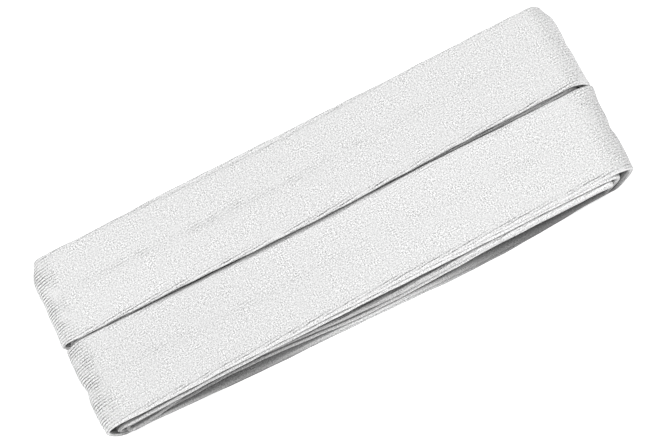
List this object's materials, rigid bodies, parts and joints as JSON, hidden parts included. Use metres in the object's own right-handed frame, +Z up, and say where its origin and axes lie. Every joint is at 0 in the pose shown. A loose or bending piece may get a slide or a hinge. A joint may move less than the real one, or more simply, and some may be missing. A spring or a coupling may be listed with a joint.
{
  "type": "flat hank of bias tape",
  "caption": "Flat hank of white jersey bias tape, its edges folded in along its length, wound in columns that lie side by side, for binding the edges of cloth.",
  "frame": {"origin": "on the surface that the hank lies on, under the middle of its box", "axes": "+X along the hank, +Y across it from the front column to the back column, +Z up"},
  "size_m": [0.1104, 0.0428, 0.0091],
  "materials": {
    "jersey": "matt white single jersey, fine ribs along the tape, slightly fuzzy"
  },
  "bodies": {
    "root": {"bias_tape": "jersey"}
  },
  "joints": []
}
